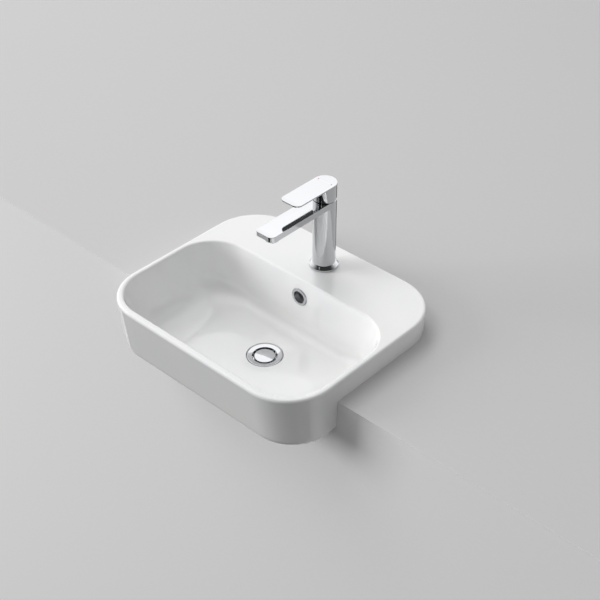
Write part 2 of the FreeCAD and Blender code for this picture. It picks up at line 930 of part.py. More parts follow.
def carrier_levels():
    foot_low = moving_disc_levels()[1] + disc_lift
    lip = tap_top - cartridge_lip_drop
    return foot_low, lip, tap_top + carrier_rise


def coupler_top():
    return tap_top - coupler_top_drop


def disc_travel():
    return ball_drop * math.sin(math.radians(lift_range))


def cartridge_coupler():
    low = moving_disc_levels()[1]
    ball_z = pivot_z - ball_drop
    block = box(-coupler_half_x, coupler_half_x, tap_y - coupler_half_y, tap_y + coupler_half_y,
                low, coupler_top())
    socket_low = ball_z - ball_r - blind_gap
    socket = cylinder(ball_r + ball_play, socket_low, coupler_top(), 0, tap_y)
    return fused([block] + coupler_lugs(lug_depth, lug_r)).cut(socket)


def cartridge_carrier():
    foot_low, lip, top = carrier_levels()
    neck_r = neck_bore_r - fit_gap
    body = fused([
        cylinder(carrier_foot_r, foot_low, lip, 0, tap_y),
        cylinder(neck_r, lip, top, 0, tap_y),
    ])
    slide = box(
        -coupler_half_x - slide_gap,
        coupler_half_x + slide_gap,
        tap_y - coupler_half_y - disc_travel() - coupler_slot_back,
        tap_y + coupler_half_y + coupler_slot_back,
        foot_low,
        coupler_top() + coupler_slot_top_gap,
    )
    slot = box(
        -spindle_half_x - slide_gap,
        spindle_half_x + slide_gap,
        tap_y - spindle_slot_front,
        tap_y + spindle_slot_back,
        coupler_top(),
        top,
    )
    pin = Part.makeCylinder(pin_r + fit_gap, 2 * neck_r, vec(-neck_r, tap_y, pivot_z), X_AXIS)
    return body.cut([slide, slot, pin])


def cartridge_pivot_pin():
    return Part.makeCylinder(pin_r, 2 * pin_half, vec(-pin_half, tap_y, pivot_z), X_AXIS)


def cartridge_spindle():
    ball_z = pivot_z - ball_drop
    ball = Part.makeSphere(ball_r, vec(0, tap_y, ball_z))
    stem = cylinder(neck_stem_r, ball_z, pivot_z - spindle_low, 0, tap_y)
    bar = box(-spindle_half_x, spindle_half_x, tap_y - spindle_half_y, tap_y + spindle_half_y,
              pivot_z - spindle_low, pivot_z + spindle_high)
    hole = Part.makeCylinder(pin_r + fit_gap, 2 * pin_half, vec(-pin_half, tap_y, pivot_z), X_AXIS)
    return fused([ball, stem, bar]).cut(hole)


def cartridge_nut():
    low = tap_top - cartridge_shoulder_drop
    high = tap_top + cartridge_neck_rise
    thread = cylinder(nut_r, low, tap_top, 0, tap_y)
    grip = hexagon(nut_hex_af, tap_top, high, 0, tap_y)
    bore = cylinder(cartridge_neck_r + fit_gap, low, high, 0, tap_y)
    return thread.fuse(grip).cut(bore).removeSplitter()


def lever_plate():
    low = hub_top - plate_t
    tip = tap_y - plate_reach
    plate = box(-plate_half_width, plate_half_width, tip, tap_y, low, hub_top)
    corners = [e for e in plate.Edges if e.BoundBox.YMax < tip + fit_gap
               and e.BoundBox.ZLength > plate_t - fit_gap]
    plate = plate.makeFillet(plate_corner, corners)
    plate = plate.fuse(cylinder(plate_half_width, low, hub_top, 0, tap_y)).removeSplitter()
    return plate.makeFillet(metal_edge, edges_at(plate, hub_top) + edges_at(plate, low))


def relief_wedge():
    rise = (column_r + cut_margin) * math.tan(math.radians(lift_range))
    start = tap_y + relief_start
    end = start + column_r + cut_margin
    side = column_r + cut_margin
    points = [vec(-side, start, hub_base), vec(-side, end, hub_base),
              vec(-side, end, hub_base + rise)]
    face = Part.Face(Part.makePolygon(points + points[:1]))
    return face.extrude(vec(2 * side, 0, 0))


def screw_level():
    return tap_top + grub_rise


def lever():
    hub = cylinder(column_r, hub_base, hub_top - plate_t / 2, 0, tap_y)
    body = hub.fuse(lever_plate()).removeSplitter()
    ceiling = tap_top + hub_hollow_rise
    hollow_in = cylinder(hub_hollow_r, hub_base, ceiling, 0, tap_y)
    square = box(
        -spindle_half_x - fit_gap,
        spindle_half_x + fit_gap,
        tap_y - spindle_half_y - fit_gap,
        tap_y + spindle_half_y + fit_gap,
        hub_base,
        pivot_z + spindle_high + blind_gap,
    )
    hole = Part.makeCylinder(grub_r + fit_gap, column_r, vec(0, tap_y, screw_level()), Y_AXIS)
    cap_start = tap_y + column_r - screw_cap_t - fit_gap
    cap_hole = Part.makeCylinder(screw_cap_r + fit_gap, column_r,
                                 vec(0, cap_start, screw_level()), Y_AXIS)
    marks = [cylinder(mark_r + fit_gap, hub_top - mark_depth, hub_top, side * mark_x, tap_y)
             for side in (-1, 1)]
    return body.cut([hollow_in, relief_wedge(), square, hole, cap_hole] + marks)


def lever_grub_screw():
    start = vec(0, tap_y + spindle_half_y, screw_level())
    screw = Part.makeCylinder(grub_r, grub_length, start, Y_AXIS)
    low = tap_y + spindle_half_y + grub_length - grub_socket_depth
    key = Part.makeCylinder(grub_socket_r, grub_socket_depth, vec(0, low, screw_level()), Y_AXIS)
    return screw.cut(key)


def lever_screw_cap():
    start = vec(0, tap_y + column_r - screw_cap_t, screw_level())
    plug = Part.makeCylinder(screw_cap_r, column_r, start, Y_AXIS)
    return plug.common(cylinder(column_r, hub_base, hub_top, 0, tap_y))


def lever_mark(side):
    return cylinder(mark_r, hub_top - mark_depth, hub_top, side * mark_x, tap_y)


PIECES = {
    "basin_body": basin_body,
    "overflow_ring": overflow_ring,
    "waste_body": waste_body,
    "waste_flange_seal": waste_flange_seal,
    "waste_lower_washer": waste_lower_washer,
    "waste_slip_washer": waste_slip_washer,
    "waste_back_nut": waste_back_nut,
    "plug_cap": plug_cap,
    "plug_seal": plug_seal,
    "plug_stem": plug_stem,
    "click_cartridge": click_cartridge,
    "click_spring": click_spring,
    "tap_body": tap_body,
    "tap_base_ring": tap_base_ring,
    "tap_base_seal": tap_base_seal,
    "tap_stud": tap_stud,
    "tap_horseshoe_pad": tap_horseshoe_pad,
    "tap_horseshoe_plate": tap_horseshoe_plate,
    "tap_stud_nut": tap_stud_nut,
    "aerator_ring": aerator_ring,
    "aerator_insert": aerator_insert,
    "aerator_seal": aerator_seal,
    "cartridge_housing": cartridge_housing,
    "cartridge_port_seals": cartridge_port_seals,
    "cartridge_fixed_disc": cartridge_fixed_disc,
    "cartridge_moving_disc": cartridge_moving_disc,
    "cartridge_coupler": cartridge_coupler,
    "cartridge_carrier": cartridge_carrier,
    "cartridge_pivot_pin": cartridge_pivot_pin,
    "cartridge_spindle": cartridge_spindle,
    "cartridge_nut": cartridge_nut,
    "lever": lever,
    "lever_grub_screw": lever_grub_screw,
    "lever_screw_cap": lever_screw_cap,
    "hot_mark": lambda: lever_mark(-1),
    "cold_mark": lambda: lever_mark(1),
}

for name, make in PIECES.items():
    save(name, make())
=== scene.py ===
"""Looks for a semi recessed basin: glazed casting, chromed tap and push waste on a bench edge."""

import math

import bmesh
import bpy
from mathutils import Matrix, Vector


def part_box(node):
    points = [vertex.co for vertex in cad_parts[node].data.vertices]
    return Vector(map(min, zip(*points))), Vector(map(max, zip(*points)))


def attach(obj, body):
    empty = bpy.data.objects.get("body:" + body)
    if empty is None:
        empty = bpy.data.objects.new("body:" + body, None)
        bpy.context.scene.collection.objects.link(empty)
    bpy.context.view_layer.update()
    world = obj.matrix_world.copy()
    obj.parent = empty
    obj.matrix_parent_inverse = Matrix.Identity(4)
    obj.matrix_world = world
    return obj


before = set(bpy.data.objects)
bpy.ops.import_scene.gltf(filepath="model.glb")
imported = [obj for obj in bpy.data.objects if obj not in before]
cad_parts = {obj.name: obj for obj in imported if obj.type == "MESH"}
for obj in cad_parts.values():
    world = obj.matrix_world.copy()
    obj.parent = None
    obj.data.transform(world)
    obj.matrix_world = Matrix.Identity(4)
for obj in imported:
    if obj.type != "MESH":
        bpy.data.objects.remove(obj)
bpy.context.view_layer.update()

bl_info = {
    "name": "Semi Recessed Basin Finish",
    "version": (1, 0, 0),
    "blender": (4, 5, 0),
    "location": "3D View > Sidebar > Basin",
    "description": "Glaze, chrome, threads, bench and studio light for a semi recessed basin",
    "category": "Object",
}

MM = 0.001
ROOT = "basin"

# Distance from the casting's outline in to the bench's cut-out, which the foot hides
CUT_OUT_INSET = 12.0 * MM
# Distance from the part down and back to the bench's faces
BENCH_GAP = 0.2 * MM

# Inner pieces: material, darker and lighter colour, roughness, depth of the grain, nodes
MOULDINGS = (
    ("black_rubber", (0.02, 0.02, 0.02), (0.035, 0.035, 0.036), 0.6, 0.08 * MM,
     ("waste_flange_seal", "waste_lower_washer", "tap_base_seal", "tap_horseshoe_pad",
      "aerator_seal", "cartridge_port_seals", "plug_seal")),
    ("white_plastic", (0.74, 0.74, 0.72), (0.8, 0.8, 0.78), 0.35, 0.03 * MM,
     ("waste_slip_washer", "aerator_insert", "cartridge_housing")),
    ("black_plastic", (0.03, 0.03, 0.032), (0.045, 0.045, 0.048), 0.4, 0.03 * MM,
     ("click_cartridge", "cartridge_carrier", "cartridge_coupler")),
    ("lapped_alumina", (0.78, 0.76, 0.71), (0.83, 0.82, 0.78), 0.18, 0.01 * MM,
     ("cartridge_fixed_disc", "cartridge_moving_disc")),
)


class BasinFinish(bpy.types.PropertyGroup):
    """Colours and surface qualities of the basin's materials."""

    glaze: bpy.props.FloatVectorProperty(
        name="Glaze", description="Colour of the white glaze", subtype="COLOR", size=3,
        default=(0.925, 0.925, 0.92), min=0.0, max=1.0)
    glaze_pool: bpy.props.FloatVectorProperty(
        name="Glaze pool", description="Colour where the glaze lies thicker", subtype="COLOR",
        size=3, default=(0.905, 0.91, 0.915), min=0.0, max=1.0)
    bisque: bpy.props.FloatVectorProperty(
        name="Unglazed foot", description="Colour of the fired clay under the foot",
        subtype="COLOR", size=3, default=(0.74, 0.71, 0.66), min=0.0, max=1.0)
    glaze_roughness: bpy.props.FloatProperty(
        name="Glaze roughness", description="How much the glaze blurs reflections",
        subtype="FACTOR", default=0.07, min=0.0, max=1.0)
    chrome: bpy.props.FloatVectorProperty(
        name="Chrome", description="Colour of the polished plating", subtype="COLOR", size=3,
        default=(0.585, 0.595, 0.61), min=0.0, max=1.0)
    chrome_roughness: bpy.props.FloatProperty(
        name="Chrome roughness", description="How much the plating blurs reflections",
        subtype="FACTOR", default=0.035, min=0.0, max=1.0)
    brass: bpy.props.FloatVectorProperty(
        name="Brass", description="Colour of the turned brass", subtype="COLOR", size=3,
        default=(0.72, 0.53, 0.25), min=0.0, max=1.0)
    hot: bpy.props.FloatVectorProperty(
        name="Hot mark", description="Colour of the hot dot", subtype="COLOR", size=3,
        default=(0.62, 0.22, 0.20), min=0.0, max=1.0)
    cold: bpy.props.FloatVectorProperty(
        name="Cold mark", description="Colour of the cold dot", subtype="COLOR", size=3,
        default=(0.16, 0.28, 0.62), min=0.0, max=1.0)


class BasinThreads(bpy.types.PropertyGroup):
    """Sizes of the screw threads that show under the basin."""

    tail_radius: bpy.props.FloatProperty(
        name="Tail radius", description="Radius of the plain shaft of the waste tail",
        unit="LENGTH", default=20.95 * MM, min=1.0 * MM, precision=4)
    tail_pitch: bpy.props.FloatProperty(
        name="Tail pitch", description="Distance between turns on the waste tail",
        unit="LENGTH", default=2.309 * MM, min=0.5 * MM, precision=4)
    tail_height: bpy.props.FloatProperty(
        name="Tail thread height", description="How far the turns stand out from the tail",
        unit="LENGTH", default=0.45 * MM, min=0.05 * MM, precision=4)
    stud_pitch: bpy.props.FloatProperty(
        name="Stud pitch", description="Distance between turns on the fixing stud",
        unit="LENGTH", default=1.25 * MM, min=0.3 * MM, precision=4)
    stud_height: bpy.props.FloatProperty(
        name="Stud thread height", description="How far the turns stand out from the stud",
        unit="LENGTH", default=0.25 * MM, min=0.05 * MM, precision=4)


class BasinStage(bpy.types.PropertyGroup):
    """Bench, light and camera around the basin."""

    # The bench top and its front board are one bench. The front is painted far whiter than the
    # top so that, with less light falling on its upright face, it shows about as bright as the
    # top: painted light.
    bench_top: bpy.props.FloatVectorProperty(
        name="Bench top", description="Colour of the pale bench top", subtype="COLOR", size=3,
        default=(0.672, 0.663, 0.668), min=0.0, max=1.0)
    bench_front: bpy.props.FloatVectorProperty(
        name="Bench front", description="Colour of the bench's front board", subtype="COLOR",
        size=3, default=(0.90, 0.895, 0.90), min=0.0, max=1.0)
    bench_reach: bpy.props.FloatProperty(
        name="Bench reach", description="How far the bench runs each way", unit="LENGTH",
        default=6.0, min=1.0)
    room: bpy.props.FloatProperty(
        name="Room light", description="Brightness of the soft light from above",
        default=0.35, min=0.0)
    room_below: bpy.props.FloatProperty(
        name="Light from below", description="Brightness of the room below the bench",
        default=0.12, min=0.0)
    mirrored_bright: bpy.props.FloatProperty(
        name="Bright side", description="Brightness of the white screen that chrome mirrors",
        default=1.53, min=0.0)
    mirrored_dark: bpy.props.FloatProperty(
        name="Dark side", description="Brightness of the unlit side that chrome mirrors",
        default=0.05, min=0.0)
    bright_way: bpy.props.FloatVectorProperty(
        name="Bright way", description="Direction of the white screen",
        subtype="DIRECTION", size=3, default=(-0.54, 0.58, 0.61))
    lamp_distance: bpy.props.FloatProperty(
        name="Lamp distance", description="How far the soft boxes stand off", unit="LENGTH",
        default=9.0, min=1.0)
    key_power: bpy.props.FloatProperty(
        name="Key light", description="Power of the high soft box at the left", unit="POWER",
        default=212.0, min=0.0)
    key_way: bpy.props.FloatVectorProperty(
        name="Key way", description="Direction of the high soft box", subtype="DIRECTION",
        size=3, default=(-0.45, -0.35, 0.82))
    side_power: bpy.props.FloatProperty(
        name="Side light", description="Power of the low soft box at the left", unit="POWER",
        default=470.0, min=0.0)
    side_way: bpy.props.FloatVectorProperty(
        name="Side way", description="Direction of the low soft box", subtype="DIRECTION",
        size=3, default=(-0.75, -0.62, 0.22))
    back_power: bpy.props.FloatProperty(
        name="Back light", description="Power of the soft box behind the basin at the left",
        unit="POWER", default=195.0, min=0.0)
    back_way: bpy.props.FloatVectorProperty(
        name="Back way", description="Direction of the soft box behind the basin",
        subtype="DIRECTION", size=3, default=(-0.66, 0.42, 0.62))
    top_power: bpy.props.FloatProperty(
        name="Top light", description="Power of the soft box above the basin", unit="POWER",
        default=4.0, min=0.0)
    top_place: bpy.props.FloatVectorProperty(
        name="Top place", description="Where the soft box above the basin hangs",
        subtype="TRANSLATION", size=3, default=(-0.1, 0.6, 2.4))
    lens: bpy.props.FloatProperty(
        name="Lens", description="Focal length of the camera in millimetres", default=75.22,
        min=1.0)
    camera_place: bpy.props.FloatVectorProperty(
        name="Camera place", description="Where the camera stands", subtype="TRANSLATION",
        size=3, default=(1.29732, -1.23103, 1.45128))
    camera_aim: bpy.props.FloatVectorProperty(
        name="Camera aim", description="The point that the camera looks at",
        subtype="TRANSLATION", size=3, default=(0.043675, 0.125257, 0.045))


# Shared effects

def new_group(name, inputs, outputs):
    """Empty shader group with named inputs and outputs."""
    group = bpy.data.node_groups.new(name, "ShaderNodeTree")
    for label, value in inputs:
        socket = group.interface.new_socket(name=label, in_out="INPUT",
                                            socket_type="NodeSocketFloat")
        socket.default_value = value
    for label in outputs:
        group.interface.new_socket(name=label, in_out="OUTPUT", socket_type="NodeSocketFloat")
    return group, group.nodes.new("NodeGroupInput"), group.nodes.new("NodeGroupOutput")


def soft_noise_group():
    """Slow cloudy variation, used for glaze, smudges and colour drift."""
    group, inside, outside = new_group(
        "soft_noise", [("Scale", 12.0), ("Low", 0.35), ("High", 0.65)], ["Mask", "Height"])
    place = group.nodes.new("ShaderNodeTexCoord")
    noise = group.nodes.new("ShaderNodeTexNoise")
    noise.inputs["Detail"].default_value = 3.0
    spread = group.nodes.new("ShaderNodeMapRange")
    spread.interpolation_type = "SMOOTHSTEP"
    group.links.new(place.outputs["Object"], noise.inputs["Vector"])
    group.links.new(inside.outputs["Scale"], noise.inputs["Scale"])
    group.links.new(noise.outputs["Fac"], spread.inputs["Value"])
    group.links.new(inside.outputs["Low"], spread.inputs["From Min"])
    group.links.new(inside.outputs["High"], spread.inputs["From Max"])
    group.links.new(spread.outputs["Result"], outside.inputs["Mask"])
    group.links.new(noise.outputs["Fac"], outside.inputs["Height"])
    return group


def fine_grain_group():
    """Fine moulding or sanding grain: a height and a speckle mask."""
    group, inside, outside = new_group(
        "fine_grain", [("Scale", 900.0), ("Stretch", 1.0)], ["Mask", "Height"])
    place = group.nodes.new("ShaderNodeTexCoord")
    shape = group.nodes.new("ShaderNodeCombineXYZ")
    shape.inputs["X"].default_value = 1.0
    shape.inputs["Y"].default_value = 1.0
    scaled = group.nodes.new("ShaderNodeVectorMath")
    scaled.operation = "MULTIPLY"
    noise = group.nodes.new("ShaderNodeTexNoise")
    noise.inputs["Detail"].default_value = 5.0
    spread = group.nodes.new("ShaderNodeMapRange")
    spread.inputs["From Min"].default_value = 0.4
    spread.inputs["From Max"].default_value = 0.6
    group.links.new(inside.outputs["Stretch"], shape.inputs["Z"])
    group.links.new(place.outputs["Object"], scaled.inputs[0])
    group.links.new(shape.outputs["Vector"], scaled.inputs[1])
    group.links.new(scaled.outputs["Vector"], noise.inputs["Vector"])
    group.links.new(inside.outputs["Scale"], noise.inputs["Scale"])
    group.links.new(noise.outputs["Fac"], spread.inputs["Value"])
    group.links.new(spread.outputs["Result"], outside.inputs["Mask"])
    group.links.new(noise.outputs["Fac"], outside.inputs["Height"])
    return group


def edge_mask_group():
    """Mask of the outer edges, where handling brightens or wears a finish."""
    group, inside, outside = new_group("edge_mask", [("Start", 0.52), ("End", 0.62)], ["Mask"])
    geometry = group.nodes.new("ShaderNodeNewGeometry")
    spread = group.nodes.new("ShaderNodeMapRange")
    group.links.new(geometry.outputs["Pointiness"], spread.inputs["Value"])
    group.links.new(inside.outputs["Start"], spread.inputs["From Min"])
    group.links.new(inside.outputs["End"], spread.inputs["From Max"])
    group.links.new(spread.outputs["Result"], outside.inputs["Mask"])
    return group


def build_groups():
    """Makes each shared effect that isn't there yet."""
    makers = {"soft_noise": soft_noise_group, "fine_grain": fine_grain_group,
              "edge_mask": edge_mask_group}
    for name, maker in makers.items():
        if name not in bpy.data.node_groups:
            maker()


class Recipe:
    """A material being put together: its tree, its shader and short calls to add nodes."""

    def __init__(self, name):
        self.material = bpy.data.materials.new(name)
        self.material.use_nodes = True
        self.tree = self.material.node_tree
        self.shader = self.tree.nodes["Principled BSDF"]

    def set(self, **values):
        """Sets the shader's inputs, with _ for each space in a label."""
        for label, value in values.items():
            self.shader.inputs[label.replace("_", " ")].default_value = value

    def group(self, name, **values):
        """Adds a shared effect."""
        node = self.tree.nodes.new("ShaderNodeGroup")
        node.node_tree = bpy.data.node_groups[name]
        for label, value in values.items():
            node.inputs[label].default_value = value
        return node

    def put(self, value, socket):
        """Links another socket to this one, or gives it a colour or a number."""
        if isinstance(value, bpy.types.NodeSocket):
            self.tree.links.new(value, socket)
        elif socket.type == "RGBA":
            socket.default_value = (*value, 1.0)
        else:
            socket.default_value = value

    def axes(self, vector):
        """X, Y and Z of a vector."""
        node = self.tree.nodes.new("ShaderNodeSeparateXYZ")
        self.put(vector, node.inputs[0])
        return node.outputs

    def math(self, operation, first, second):
        """Result of a test or a product."""
        node = self.tree.nodes.new("ShaderNodeMath")
        node.operation = operation
        self.put(first, node.inputs[0])
        self.put(second, node.inputs[1])
        return node.outputs[0]

    def colour_mix(self, mask, first, second):
        """Colour that goes from the first to the second where the mask is 1."""
        node = self.tree.nodes.new("ShaderNodeMix")
        node.data_type = "RGBA"
        self.put(mask, node.inputs["Factor"])
        self.put(first, node.inputs["A"])
        self.put(second, node.inputs["B"])
        return node.outputs["Result"]

    def number_mix(self, mask, first, second):
        """Number that goes from the first to the second where the mask is 1."""
        node = self.tree.nodes.new("ShaderNodeMapRange")
        self.put(mask, node.inputs["Value"])
        self.put(first, node.inputs["To Min"])
        self.put(second, node.inputs["To Max"])
        return node.outputs["Result"]

    def feed(self, socket, label):
        """Links a socket to one of the shader's inputs."""
        self.tree.links.new(socket, self.shader.inputs[label])

    def bump(self, height, strength, distance):
        """Fine unevenness on top of the geometry."""
        node = self.tree.nodes.new("ShaderNodeBump")
        node.inputs["Strength"].default_value = strength
        node.inputs["Distance"].default_value = distance
        self.tree.links.new(height, node.inputs["Height"])
        self.feed(node.outputs["Normal"], "Normal")


def glazed_china(finish):
    """White glaze over clay, bare under the foot that sits on the bench."""
    foot_level = 0.35 * MM
    foot_front = 0.5 * MM
    facing_down = -0.98
    pool_blur = 1.5
    clay_roughness = 0.75
    recipe = Recipe("glazed_china")
    recipe.set(IOR=1.52, Coat_Weight=0.35, Coat_Roughness=0.02)
    cloud = recipe.group("soft_noise", Scale=7.0)
    ripple = recipe.group("soft_noise", Scale=55.0)
    place = recipe.tree.nodes.new("ShaderNodeTexCoord")
    spot = recipe.axes(place.outputs["Object"])
    facing = recipe.axes(place.outputs["Normal"])
    low = recipe.math("LESS_THAN", spot["Z"], foot_level)
    behind = recipe.math("GREATER_THAN", spot["Y"], foot_front)
    down = recipe.math("LESS_THAN", facing["Z"], facing_down)
    bare = recipe.math("MULTIPLY", recipe.math("MULTIPLY", low, behind), down)
    glaze = recipe.colour_mix(cloud.outputs["Mask"], finish.glaze, finish.glaze_pool)
    recipe.feed(recipe.colour_mix(bare, glaze, finish.bisque), "Base Color")
    gloss = recipe.number_mix(cloud.outputs["Mask"], finish.glaze_roughness,
                              finish.glaze_roughness * pool_blur)
    recipe.feed(recipe.number_mix(bare, gloss, clay_roughness), "Roughness")
    recipe.bump(ripple.outputs["Height"], strength=0.06, distance=0.6 * MM)
    return recipe.material


def polished_chrome(finish):
    """Bright plating with faint smudges and edges polished a little brighter."""
    edge_gain = 0.08
    smudge_blur = 2.2
    recipe = Recipe("polished_chrome")
    recipe.set(Metallic=1.0)
    smudge = recipe.group("soft_noise", Scale=38.0, Low=0.45, High=0.7)
    edge = recipe.group("edge_mask")
    bright = tuple(min(1.0, channel + edge_gain) for channel in finish.chrome)
    recipe.feed(recipe.colour_mix(edge.outputs["Mask"], finish.chrome, bright), "Base Color")
    recipe.feed(recipe.number_mix(smudge.outputs["Mask"], finish.chrome_roughness,
                                  finish.chrome_roughness * smudge_blur), "Roughness")
    return recipe.material


def turned_brass(finish):
    """Plain brass with turning marks and a dull film."""
    film_share = 0.72
    smooth, rough = 0.22, 0.38
    recipe = Recipe("turned_brass")
    recipe.set(Metallic=1.0)
    marks = recipe.group("fine_grain", Scale=260.0, Stretch=9.0)
    film = recipe.group("soft_noise", Scale=60.0)
    dull = tuple(channel * film_share for channel in finish.brass)
    recipe.feed(recipe.colour_mix(film.outputs["Mask"], finish.brass, dull), "Base Color")
    recipe.feed(recipe.number_mix(marks.outputs["Mask"], smooth, rough), "Roughness")
    recipe.bump(marks.outputs["Height"], strength=0.15, distance=0.05 * MM)
    return recipe.material


def stainless_steel():
    """Drawn steel with fine lines along its length."""
    dark, light = (0.52, 0.53, 0.54), (0.66, 0.67, 0.68)
    smooth, rough = 0.2, 0.36
    recipe = Recipe("stainless_steel")
    recipe.set(Metallic=1.0)
    lines = recipe.group("fine_grain", Scale=420.0, Stretch=0.1)
    recipe.feed(recipe.colour_mix(lines.outputs["Mask"], dark, light), "Base Color")
    recipe.feed(recipe.number_mix(lines.outputs["Mask"], smooth, rough), "Roughness")
    recipe.bump(lines.outputs["Height"], strength=0.1, distance=0.03 * MM)
    return recipe.material


def moulded(name, dark, light, rough, grain_depth):
    """Moulded plastic, rubber or ceramic: fine grain, slightly paler on its edges."""
    edge_share, edge_gain = 1.25, 0.01
    grain_blur = 0.12
    recipe = Recipe(name)
    grain = recipe.group("fine_grain", Scale=1400.0)
    edge = recipe.group("edge_mask")
    drift = recipe.group("soft_noise", Scale=90.0)
    base = recipe.colour_mix(drift.outputs["Mask"], dark, light)
    pale = tuple(min(1.0, channel * edge_share + edge_gain) for channel in light)
    recipe.feed(recipe.colour_mix(edge.outputs["Mask"], base, pale), "Base Color")
    recipe.feed(recipe.number_mix(grain.outputs["Mask"], rough, rough + grain_blur), "Roughness")
    recipe.bump(grain.outputs["Height"], strength=0.3, distance=grain_depth)
    return recipe.material


def enamel(name, colour):
    """Glossy inlaid dot, a little deeper in colour where the enamel pooled."""
    pool_share = 0.7
    smooth, rough = 0.18, 0.3
    recipe = Recipe(name)
    recipe.set(Coat_Weight=0.6, Coat_Roughness=0.05)
    pool = recipe.group("soft_noise", Scale=400.0)
    deep = tuple(channel * pool_share for channel in colour)
    recipe.feed(recipe.colour_mix(pool.outputs["Mask"], colour, deep), "Base Color")
    recipe.feed(recipe.number_mix(pool.outputs["Mask"], smooth, rough), "Roughness")
    return recipe.material


def material_named(name, maker, *values):
    """Material of that name, made where it isn't there yet."""
    found = bpy.data.materials.get(name)
    return found if found else maker(*values)


def dress(material, *nodes):
    """Gives CAD nodes a material."""
    for name in nodes:
        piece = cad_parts[name]
        piece.data.materials.clear()
        piece.data.materials.append(material)


# Threads under the basin

def node_axis(node):
    """Middle of a node's box, which lies on its axis."""
    low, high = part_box(node)
    return (low + high) / 2


def thread_mesh(name, radius, pitch, height, low, high, centre):
    """Raised turns of a screw thread wound round an upright shaft."""
    steps_per_turn = 72
    run_in_steps = steps_per_turn / 2
    sink = 0.15 * MM
    root_half = 0.42 * pitch
    crest_half = 0.06 * pitch
    turns = (high - low - pitch) / pitch
    count = int(turns * steps_per_turn)
    mesh = bmesh.new()
    previous = None
    for step in range(count + 1):
        angle = 2 * math.pi * step / steps_per_turn
        run_in = min(1.0, step / run_in_steps, (count - step) / run_in_steps)
        crest = radius + (height + sink) * run_in - sink
        middle = low + pitch / 2 + pitch * step / steps_per_turn
        profile = [(radius - sink, -root_half), (crest, -crest_half),
                   (crest, crest_half), (radius - sink, root_half)]
        ring = [mesh.verts.new((centre.x + r * math.cos(angle), centre.y + r * math.sin(angle),
                                middle + dz)) for r, dz in profile]
        if previous:
            for index in range(len(ring)):
                after = (index + 1) % len(ring)
                mesh.faces.new((previous[index], previous[after], ring[after], ring[index]))
        else:
            mesh.faces.new(ring)
        previous = ring
    mesh.faces.new(list(reversed(previous)))
    bmesh.ops.recalc_face_normals(mesh, faces=mesh.faces)
    data = bpy.data.meshes.new(name)
    mesh.to_mesh(data)
    mesh.free()
    piece = bpy.data.objects.new(name, data)
    bpy.context.scene.collection.objects.link(piece)
    return piece


# Operators

class BASIN_OT_dress_casting(bpy.types.Operator):
    """Glaze the china casting"""

    bl_idname = "basin.dress_casting"
    bl_label = "Glaze Casting"

    def execute(self, context):
        build_groups()
        finish = context.scene.basin_finish
        dress(material_named("glazed_china", glazed_china, finish), "basin_body")
        return {"FINISHED"}


class BASIN_OT_dress_chrome(bpy.types.Operator):
    """Plate the tap, the lever, the waste, the plug and the overflow ring"""

    bl_idname = "basin.dress_chrome"
    bl_label = "Plate Fittings"

    def execute(self, context):
        build_groups()
        chrome = material_named("polished_chrome", polished_chrome, context.scene.basin_finish)
        dress(chrome, "tap_body", "tap_base_ring", "aerator_ring", "lever", "lever_screw_cap",
              "waste_body", "plug_cap", "overflow_ring")
        return {"FINISHED"}


class BASIN_OT_dress_metal(bpy.types.Operator):
    """Finish the plain brass and steel pieces"""

    bl_idname = "basin.dress_metal"
    bl_label = "Finish Brass And Steel"

    def execute(self, context):
        build_groups()
        brass = material_named("turned_brass", turned_brass, context.scene.basin_finish)
        dress(brass, "waste_back_nut", "plug_stem", "tap_stud_nut", "cartridge_nut",
              "cartridge_spindle")
        steel = material_named("stainless_steel", stainless_steel)
        dress(steel, "tap_stud", "tap_horseshoe_plate", "click_spring", "cartridge_pivot_pin",
              "lever_grub_screw")
        return {"FINISHED"}


class BASIN_OT_dress_moulded(bpy.types.Operator):
    """Finish the rubber, plastic and ceramic inner pieces"""

    bl_idname = "basin.dress_moulded"
    bl_label = "Finish Mouldings"

    def execute(self, context):
        build_groups()
        for name, dark, light, rough, grain_depth, nodes in MOULDINGS:
            dress(material_named(name, moulded, name, dark, light, rough, grain_depth), *nodes)
        return {"FINISHED"}


class BASIN_OT_dress_marks(bpy.types.Operator):
    """Enamel the hot and the cold dot"""

    bl_idname = "basin.dress_marks"
    bl_label = "Enamel Marks"

    def execute(self, context):
        build_groups()
        finish = context.scene.basin_finish
        dress(material_named("hot_enamel", enamel, "hot_enamel", finish.hot), "hot_mark")
        dress(material_named("cold_enamel", enamel, "cold_enamel", finish.cold), "cold_mark")
        return {"FINISHED"}


class BASIN_OT_cut_threads(bpy.types.Operator):
    """Wind the threads on the waste tail and on the fixing stud"""

    bl_idname = "basin.cut_threads"
    bl_label = "Cut Threads"

    def execute(self, context):
        sizes = context.scene.basin_threads
        finish = context.scene.basin_finish
        nut_gap = 2.5 * MM
        tail_start = 1.0 * MM
        stud_start = 0.8 * MM
        build_groups()
        tail_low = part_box("waste_body")[0].z
        tail_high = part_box("waste_back_nut")[0].z - nut_gap
        tail = thread_mesh("waste_tail_thread", sizes.tail_radius, sizes.tail_pitch,
                           sizes.tail_height, tail_low + tail_start, tail_high,
                           node_axis("waste_body"))
        tail.data.materials.append(material_named("polished_chrome", polished_chrome, finish))
        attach(tail, ROOT)
        stud_low, stud_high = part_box("tap_stud")
        fixing_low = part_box("tap_stud_nut")[0].z
        stud_radius = (stud_high.x - stud_low.x) / 2
        stud = thread_mesh("tap_stud_thread", stud_radius, sizes.stud_pitch, sizes.stud_height,
                           stud_low.z + stud_start, fixing_low, node_axis("tap_stud"))
        stud.data.materials.append(material_named("stainless_steel", stainless_steel))
        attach(stud, ROOT)
        return {"FINISHED"}


# Stage

